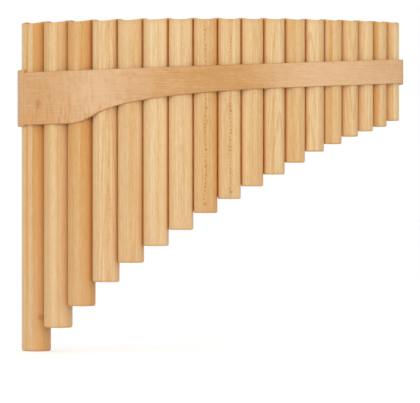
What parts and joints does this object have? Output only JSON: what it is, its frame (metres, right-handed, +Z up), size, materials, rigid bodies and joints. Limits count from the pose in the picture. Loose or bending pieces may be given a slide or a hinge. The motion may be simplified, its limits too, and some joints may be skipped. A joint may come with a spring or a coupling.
{
  "type": "pan flute",
  "caption": "Curved pan flute of round wooden pipes in falling lengths, closed by corks with wax, held by a front belt with an S-curve, a rear belt and end caps.",
  "frame": {"origin": "middle of the outline seen from above, at the height of the bass pipe's foot, which is the lowest point", "axes": "+Z up along the pipes, with the mouths at the top; the convex front faces -Y; the bass pipe is at -X and the treble pipe at +X"},
  "size_m": [0.281, 0.0736, 0.2395],
  "materials": {
    "pipe_wood": "fine-grained pale wood, thin satin varnish",
    "belt_wood": "slightly darker flamed wood, satin varnish",
    "cap_wood": "pale wood, satin varnish",
    "cork": "raw cork, matte",
    "beeswax": "beeswax, dull sheen"
  },
  "bodies": {
    "root": {"pipe_01": "pipe_wood", "pipe_02": "pipe_wood", "pipe_03": "pipe_wood", "pipe_04": "pipe_wood", "pipe_05": "pipe_wood", "pipe_06": "pipe_wood", "pipe_07": "pipe_wood", "pipe_08": "pipe_wood", "pipe_09": "pipe_wood", "pipe_10": "pipe_wood", "pipe_11": "pipe_wood", "pipe_12": "pipe_wood", "pipe_13": "pipe_wood", "pipe_14": "pipe_wood", "pipe_15": "pipe_wood", "pipe_16": "pipe_wood", "pipe_17": "pipe_wood", "pipe_18": "pipe_wood", "front_belt": "belt_wood", "rear_belt": "belt_wood", "bass_end_cap": "cap_wood", "treble_end_cap": "cap_wood"},
    "stopper_01": {"cork_01": "cork", "wax_01": "beeswax"},
    "stopper_02": {"cork_02": "cork", "wax_02": "beeswax"},
    "stopper_03": {"cork_03": "cork", "wax_03": "beeswax"},
    "stopper_04": {"cork_04": "cork", "wax_04": "beeswax"},
    "stopper_05": {"cork_05": "cork", "wax_05": "beeswax"},
    "stopper_06": {"cork_06": "cork", "wax_06": "beeswax"},
    "stopper_07": {"cork_07": "cork", "wax_07": "beeswax"},
    "stopper_08": {"cork_08": "cork", "wax_08": "beeswax"},
    "stopper_09": {"cork_09": "cork", "wax_09": "beeswax"},
    "stopper_10": {"cork_10": "cork", "wax_10": "beeswax"},
    "stopper_11": {"cork_11": "cork", "wax_11": "beeswax"},
    "stopper_12": {"cork_12": "cork", "wax_12": "beeswax"},
    "stopper_13": {"cork_13": "cork", "wax_13": "beeswax"},
    "stopper_14": {"cork_14": "cork", "wax_14": "beeswax"},
    "stopper_15": {"cork_15": "cork", "wax_15": "beeswax"},
    "stopper_16": {"cork_16": "cork", "wax_16": "beeswax"},
    "stopper_17": {"cork_17": "cork", "wax_17": "beeswax"},
    "stopper_18": {"cork_18": "cork", "wax_18": "beeswax"}
  },
  "joints": [
    {"name": "stopper_01_slide", "type": "slide", "parent": "root", "child": "stopper_01", "axis": [0, 0, 1], "range_m": [-0.01, 0.012]},
    {"name": "stopper_02_slide", "type": "slide", "parent": "root", "child": "stopper_02", "axis": [0, 0, 1], "range_m": [-0.0113, 0.0107]},
    {"name": "stopper_03_slide", "type": "slide", "parent": "root", "child": "stopper_03", "axis": [0, 0, 1], "range_m": [-0.0101, 0.0095]},
    {"name": "stopper_04_slide", "type": "slide", "parent": "root", "child": "stopper_04", "axis": [0, 0, 1], "range_m": [-0.0095, 0.009]},
    {"name": "stopper_05_slide", "type": "slide", "parent": "root", "child": "stopper_05", "axis": [0, 0, 1], "range_m": [-0.0084, 0.008]},
    {"name": "stopper_06_slide", "type": "slide", "parent": "root", "child": "stopper_06", "axis": [0, 0, 1], "range_m": [-0.0075, 0.0071]},
    {"name": "stopper_07_slide", "type": "slide", "parent": "root", "child": "stopper_07", "axis": [0, 0, 1], "range_m": [-0.0071, 0.0067]},
    {"name": "stopper_08_slide", "type": "slide", "parent": "root", "child": "stopper_08", "axis": [0, 0, 1], "range_m": [-0.0063, 0.0059]},
    {"name": "stopper_09_slide", "type": "slide", "parent": "root", "child": "stopper_09", "axis": [0, 0, 1], "range_m": [-0.0056, 0.0053]},
    {"name": "stopper_10_slide", "type": "slide", "parent": "root", "child": "stopper_10", "axis": [0, 0, 1], "range_m": [-0.0049, 0.0047]},
    {"name": "stopper_11_slide", "type": "slide", "parent": "root", "child": "stopper_11", "axis": [0, 0, 1], "range_m": [-0.0047, 0.0044]},
    {"name": "stopper_12_slide", "type": "slide", "parent": "root", "child": "stopper_12", "axis": [0, 0, 1], "range_m": [-0.0041, 0.0039]},
    {"name": "stopper_13_slide", "type": "slide", "parent": "root", "child": "stopper_13", "axis": [0, 0, 1], "range_m": [-0.0037, 0.0035]},
    {"name": "stopper_14_slide", "type": "slide", "parent": "root", "child": "stopper_14", "axis": [0, 0, 1], "range_m": [-0.0035, 0.0033]},
    {"name": "stopper_15_slide", "type": "slide", "parent": "root", "child": "stopper_15", "axis": [0, 0, 1], "range_m": [-0.0031, 0.0029]},
    {"name": "stopper_16_slide", "type": "slide", "parent": "root", "child": "stopper_16", "axis": [0, 0, 1], "range_m": [-0.0027, 0.0026]},
    {"name": "stopper_17_slide", "type": "slide", "parent": "root", "child": "stopper_17", "axis": [0, 0, 1], "range_m": [-0.0024, 0.0023]},
    {"name": "stopper_18_slide", "type": "slide", "parent": "root", "child": "stopper_18", "axis": [0, 0, 1], "range_m": [-0.0023, 0.0022]}
  ]
}
